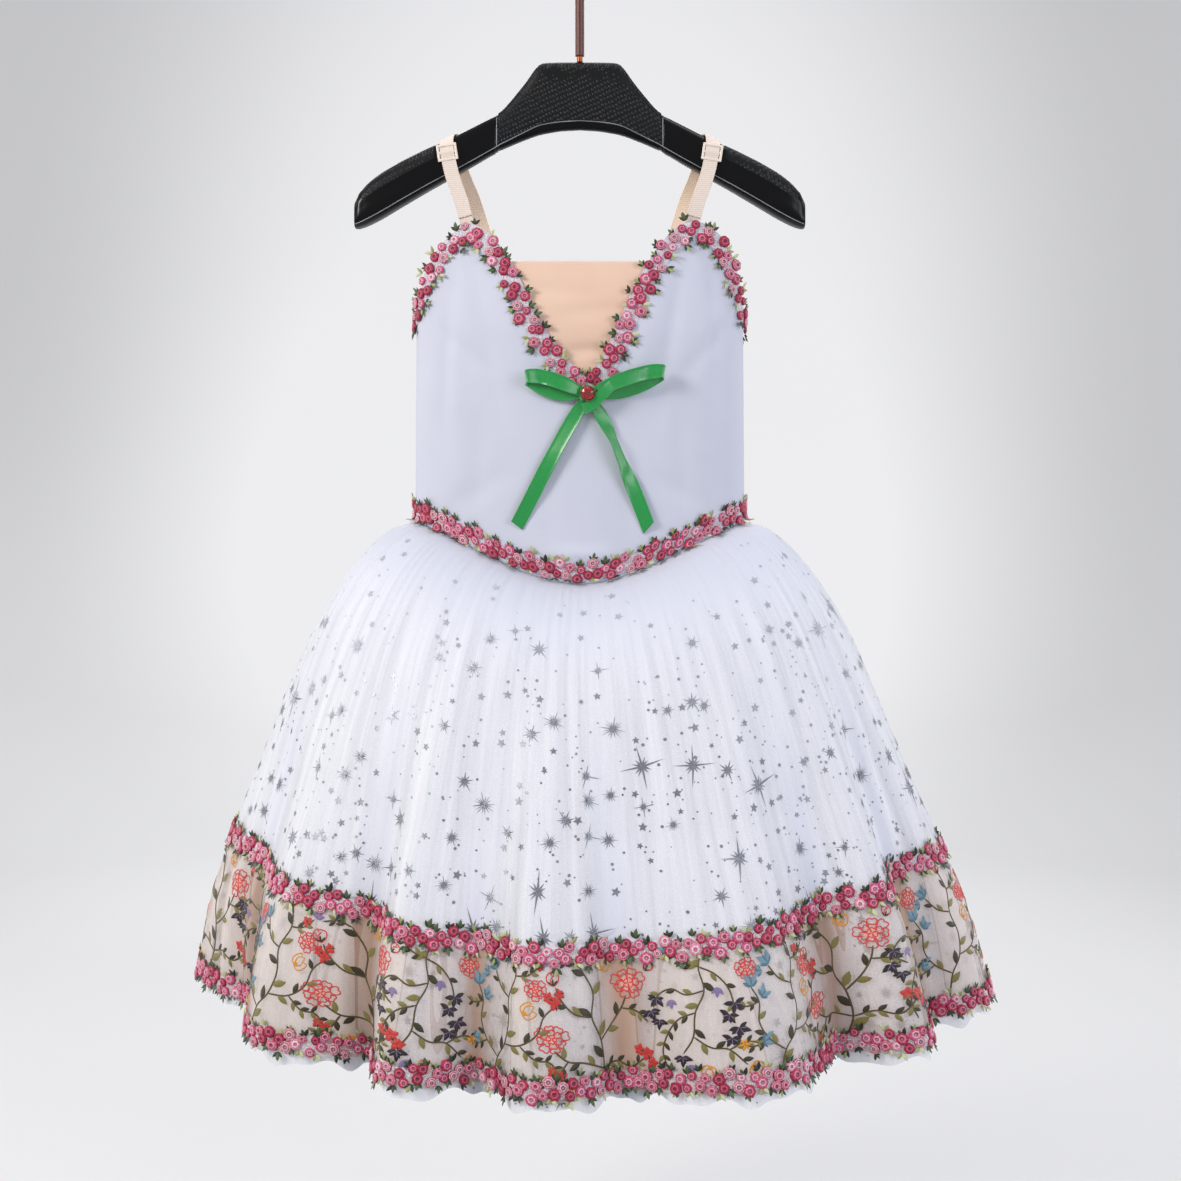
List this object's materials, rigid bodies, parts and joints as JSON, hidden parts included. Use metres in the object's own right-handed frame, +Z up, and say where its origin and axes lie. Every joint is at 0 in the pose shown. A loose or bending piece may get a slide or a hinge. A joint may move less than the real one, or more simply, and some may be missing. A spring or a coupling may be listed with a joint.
{
  "type": "ballet dress on a hanger",
  "caption": "Girl's ballet dress with strapped stretch bodice, gathered star net skirt, embroidered net flounce and rose braid edges, hanging by its straps on a moulded hanger with a hook.",
  "frame": {"origin": "inside top of the hook's curl, where a rail carries it", "axes": "+Z up, -Y out of the dress front, +X to the right of a person who looks at the front"},
  "size_m": [0.7202, 0.5869, 0.972],
  "materials": {
    "hanger_black": "glossy black moulding with pebbled grip panels",
    "copper": "copper-coloured plated wire",
    "sleeve": "red-brown soft plastic sleeve",
    "bodice": "white-lilac matt stretch knit",
    "insert": "skin-tone stretch knit",
    "elastic": "skin-tone soft elastic",
    "slider": "skin-tone plastic",
    "star_net": "white soft net with silver foil stars",
    "plain_net": "plain white soft net",
    "flounce_net": "skin-tone net with coloured flower embroidery",
    "rose_braid": "embroidered braid of pink and crimson roses with green leaves",
    "satin": "green satin ribbon",
    "stone": "faceted red glass"
  },
  "bodies": {
    "root": {"hanger": "hanger_black", "hook_wire": "copper", "hook_sleeve": "sleeve", "bodice_front": "bodice", "bodice_back": "bodice", "neck_insert": "insert", "strap_left": "elastic", "strap_right": "elastic", "slider_left": "slider", "slider_right": "slider", "skirt_front": "star_net", "skirt_back": "star_net", "petticoat": "plain_net", "flounce_front": "flounce_net", "flounce_back": "flounce_net", "trim_neck": "rose_braid", "trim_waist": "rose_braid", "trim_flounce": "rose_braid", "trim_hem": "rose_braid", "bow_loop_left": "satin", "bow_loop_right": "satin", "bow_tail_left": "satin", "bow_tail_right": "satin", "bow_knot": "satin", "gem": "stone"}
  },
  "joints": []
}
